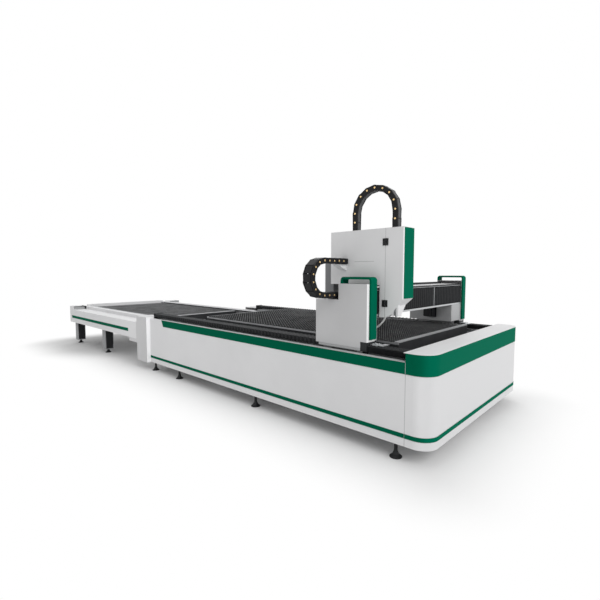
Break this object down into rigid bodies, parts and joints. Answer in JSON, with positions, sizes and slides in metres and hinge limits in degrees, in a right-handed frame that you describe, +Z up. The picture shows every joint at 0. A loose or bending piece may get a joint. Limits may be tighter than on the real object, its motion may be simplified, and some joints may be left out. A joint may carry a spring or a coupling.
{
  "type": "fiber laser cutting machine",
  "caption": "Flat-bed fiber laser cutting machine with a moving gantry, a tall cutting-head housing, energy chains and a pallet exchange station.",
  "frame": {"origin": "middle of the footprint, on the floor", "axes": "+X along the machine to the operator end, +Z up, -Y to the side where the carriage rests"},
  "size_m": [8.283, 2.9054, 2.3361],
  "materials": {
    "green_paint": "powder coat, satin",
    "white_paint": "powder coat, fine texture",
    "grey_paint": "powder coat, satin",
    "frame_paint": "paint over welded steel",
    "dark_steel": "cut and used steel blades",
    "bright_steel": "ground steel",
    "aluminium": "machined",
    "black_metal": "black coated",
    "black_plastic": "glass-filled nylon",
    "bellows_cloth": "coated cloth",
    "white_hose": "smooth hose",
    "motor_black": "black enamel"
  },
  "bodies": {
    "bed": {"bed_side_beams": "frame_paint", "bed_cross_members": "frame_paint", "side_panels": "white_paint", "green_bands": "green_paint", "front_shroud": "white_paint", "front_deck": "white_paint", "trim_stripes": "green_paint", "transition_posts": "white_paint", "leveling_feet": "black_metal", "x_rails": "bright_steel", "bellows_brackets": "black_metal", "x_bellows_rear": "bellows_cloth", "x_bellows_front": "bellows_cloth", "pallet_tracks": "frame_paint", "scrap_trays": "bright_steel", "exchange_frame": "frame_paint", "exchange_side_covers": "white_paint", "exchange_end_covers": "white_paint", "exchange_legs": "white_paint", "exchange_drive_motor": "motor_black", "x_chain_tray": "grey_paint", "x_chain": "black_plastic"},
    "drive_shaft": {"exchange_drive_shaft": "bright_steel"},
    "upper_pallet": {"upper_pallet_frame": "frame_paint", "upper_pallet_slats": "dark_steel"},
    "upper_wheels_front": {"upper_wheelset_front": "bright_steel"},
    "upper_wheels_rear": {"upper_wheelset_rear": "bright_steel"},
    "lower_pallet": {"lower_pallet_frame": "frame_paint", "lower_pallet_slats": "dark_steel"},
    "lower_wheels_front": {"lower_wheelset_front": "bright_steel"},
    "lower_wheels_rear": {"lower_wheelset_rear": "bright_steel"},
    "gantry": {"gantry_beam": "grey_paint", "gantry_legs": "grey_paint", "end_cover_near": "grey_paint", "end_cover_far": "grey_paint", "gantry_arches": "green_paint", "beam_guides": "bright_steel", "x_motors": "motor_black", "beam_bellows_near": "bellows_cloth", "beam_bellows_far": "bellows_cloth", "y_chain_tray": "grey_paint", "y_chain": "black_plastic"},
    "near_pinion": {"x_pinion_near": "bright_steel"},
    "far_pinion": {"x_pinion_far": "bright_steel"},
    "carriage": {"carriage_plate": "aluminium", "head_housing": "white_paint", "rear_box": "grey_paint", "axis_motors": "motor_black", "hinge_fixed_leaves": "black_metal", "chain_brackets": "white_paint", "z_chain": "black_plastic", "head_hose": "white_hose"},
    "carriage_pinion": {"y_pinion": "bright_steel"},
    "screw": {"z_screw": "bright_steel"},
    "door": {"head_door": "white_paint", "head_front_panel": "green_paint", "hinge_door_leaves": "black_metal"},
    "head": {"z_slide": "aluminium", "cutting_head": "aluminium"}
  },
  "joints": [
    {"name": "gantry_slide", "type": "slide", "parent": "bed", "child": "gantry", "axis": [1, 0, 0], "range_m": [-3, 0], "deforming": ["x_bellows_rear", "x_bellows_front", "x_chain"]},
    {"name": "carriage_slide", "type": "slide", "parent": "gantry", "child": "carriage", "axis": [0, 1, 0], "range_m": [0, 1.6], "deforming": ["beam_bellows_near", "beam_bellows_far", "y_chain"]},
    {"name": "head_slide", "type": "slide", "parent": "carriage", "child": "head", "axis": [0, 0, 1], "range_m": [-0.2, 0], "deforming": ["z_chain"]},
    {"name": "door_hinge", "type": "hinge", "parent": "carriage", "child": "door", "pos_m": [3.579, -0.951, 1.54], "axis": [0, 0, 1], "range_deg": [-80, 0]},
    {"name": "upper_pallet_slide", "type": "slide", "parent": "bed", "child": "upper_pallet", "axis": [1, 0, 0], "range_m": [-4.6, 0]},
    {"name": "lower_pallet_slide", "type": "slide", "parent": "bed", "child": "lower_pallet", "axis": [1, 0, 0], "range_m": [0, 4.6]},
    {"name": "drive_shaft_turn", "type": "hinge", "parent": "bed", "child": "drive_shaft", "pos_m": [-0.92, 0, 0.59], "axis": [0, 1, 0], "continuous": true},
    {"name": "upper_wheels_rear_turn", "type": "hinge", "parent": "upper_pallet", "child": "upper_wheels_rear", "pos_m": [1.01, 0, 0.822], "axis": [0, 1, 0], "continuous": true},
    {"name": "upper_wheels_front_turn", "type": "hinge", "parent": "upper_pallet", "child": "upper_wheels_front", "pos_m": [3.247, 0, 0.822], "axis": [0, 1, 0], "continuous": true},
    {"name": "lower_wheels_rear_turn", "type": "hinge", "parent": "lower_pallet", "child": "lower_wheels_rear", "pos_m": [-3.59, 0, 0.684], "axis": [0, 1, 0], "continuous": true},
    {"name": "lower_wheels_front_turn", "type": "hinge", "parent": "lower_pallet", "child": "lower_wheels_front", "pos_m": [-1.353, 0, 0.684], "axis": [0, 1, 0], "continuous": true},
    {"name": "near_pinion_turn", "type": "hinge", "parent": "gantry", "child": "near_pinion", "pos_m": [3.3615, -1.015, 0.855], "axis": [0, 1, 0], "continuous": true},
    {"name": "far_pinion_turn", "type": "hinge", "parent": "gantry", "child": "far_pinion", "pos_m": [3.3615, 1.015, 0.855], "axis": [0, 1, 0], "continuous": true},
    {"name": "carriage_pinion_turn", "type": "hinge", "parent": "carriage", "child": "carriage_pinion", "pos_m": [3.284, -0.855, 1.42], "axis": [0, 0, 1], "continuous": true},
    {"name": "screw_turn", "type": "hinge", "parent": "carriage", "child": "screw", "pos_m": [3.563, -0.855, 1.4], "axis": [0, 0, 1], "continuous": true}
  ],
  "couplings": [
    {"joint": "lower_pallet_slide", "follows": "upper_pallet_slide", "ratio": -1},
    {"joint": "drive_shaft_turn", "follows": "upper_pallet_slide", "rad_per_m": 25},
    {"joint": "upper_wheels_rear_turn", "follows": "upper_pallet_slide", "rad_per_m": 35.714},
    {"joint": "upper_wheels_front_turn", "follows": "upper_pallet_slide", "rad_per_m": 35.714},
    {"joint": "lower_wheels_rear_turn", "follows": "upper_pallet_slide", "rad_per_m": -35.714},
    {"joint": "lower_wheels_front_turn", "follows": "upper_pallet_slide", "rad_per_m": -35.714},
    {"joint": "near_pinion_turn", "follows": "gantry_slide", "rad_per_m": 33.333},
    {"joint": "far_pinion_turn", "follows": "gantry_slide", "rad_per_m": 33.333},
    {"joint": "carriage_pinion_turn", "follows": "carriage_slide", "rad_per_m": 33.333},
    {"joint": "screw_turn", "follows": "head_slide", "rad_per_m": 314.16}
  ]
}
